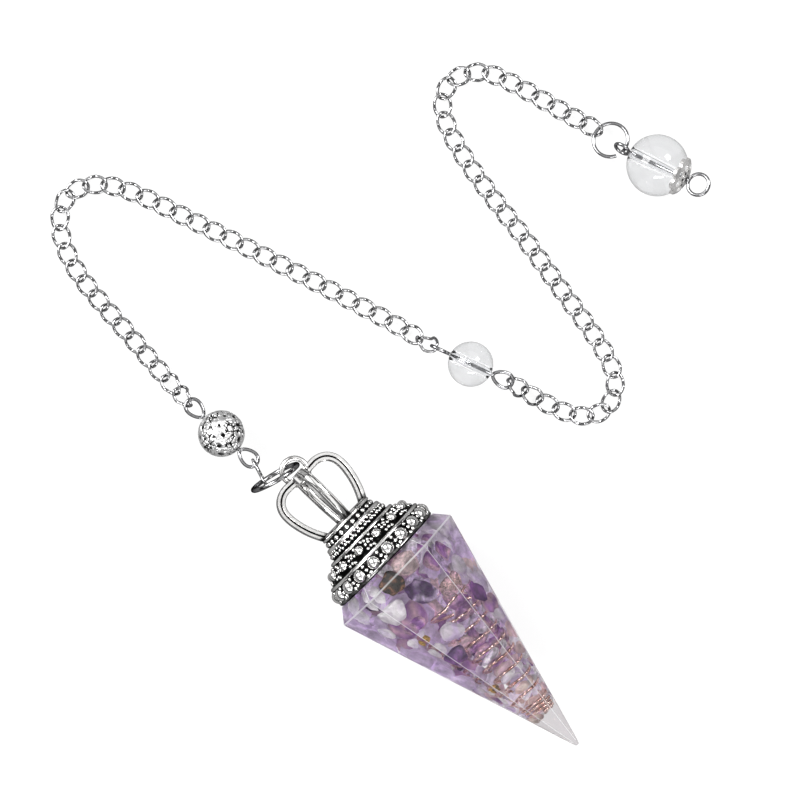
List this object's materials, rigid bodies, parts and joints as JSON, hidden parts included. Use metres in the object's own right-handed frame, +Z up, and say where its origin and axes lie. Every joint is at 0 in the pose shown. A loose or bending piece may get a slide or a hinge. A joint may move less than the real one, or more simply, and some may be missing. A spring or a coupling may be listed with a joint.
{
  "type": "pendulum pendant",
  "caption": "Dowsing pendulum: a six-sided clear resin point with stone chips and a copper spiral cast in it, a beaded silver crown cap, and a curb chain with small beads.",
  "frame": {"origin": "on the table, under the middle of the whole part's box", "axes": "+Z up from the table; the part lies as in the picture, with +X to the picture's right and +Y to its top"},
  "size_m": [0.0844, 0.0872, 0.0169],
  "materials": {
    "clear_resin": "clear cast resin with a faint lilac tint, polished flats",
    "copper": "bright copper wire",
    "amethyst": "tumbled purple stone",
    "pale_stone": "tumbled pale stone",
    "brown_stone": "tumbled brown and black stone",
    "antique_silver": "antiqued silver plate, dark in the recesses",
    "ring_metal": "bright silver-coloured wire",
    "bead_silver": "dark pitted silver plate",
    "chain_metal": "silver-coloured steel wire",
    "clear_bead": "clear polished glass"
  },
  "bodies": {
    "root": {"resin_point": "clear_resin", "copper_coil": "copper", "amethyst_chips": "amethyst", "pale_chips": "pale_stone", "brown_chips": "brown_stone", "crown_cap": "antique_silver", "crown_ring": "ring_metal", "crown_link": "ring_metal", "silver_bead": "bead_silver", "silver_bead_wire": "ring_metal", "chain_lower": "chain_metal", "clear_bead": "clear_bead", "clear_bead_wire": "ring_metal", "chain_upper": "chain_metal", "end_ring": "ring_metal", "end_bead": "clear_bead", "end_bead_wire": "ring_metal", "bead_cap": "antique_silver"}
  },
  "joints": []
}
